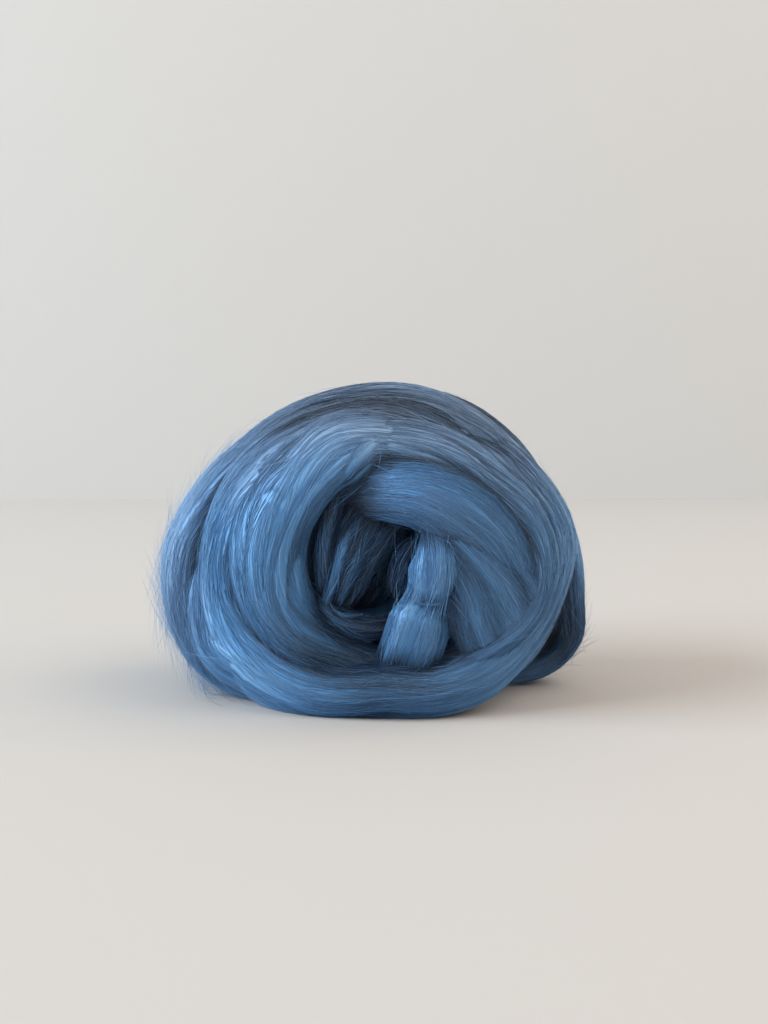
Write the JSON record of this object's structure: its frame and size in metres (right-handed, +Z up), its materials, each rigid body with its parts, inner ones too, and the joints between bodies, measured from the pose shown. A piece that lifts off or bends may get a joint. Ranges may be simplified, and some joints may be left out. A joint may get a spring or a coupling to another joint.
{
  "type": "wound ball of viscose combed top",
  "caption": "Hand-wound ball of blue viscose combed top, a thick glossy sliver of parallel fibres coiled round an open eye, used for spinning and felting.",
  "frame": {"origin": "on the surface that the ball lies on, under the middle of its bounding box", "axes": "+Z up; the winding axis runs along Y and the open eye of the coil faces -Y; +X to the right seen from the eye"},
  "size_m": [0.172, 0.1226, 0.1222],
  "materials": {
    "viscose": "glossy parallel fibres, dyed mid blue, with paler and darker locks"
  },
  "bodies": {
    "root": {"wound_top": "viscose"}
  },
  "joints": []
}
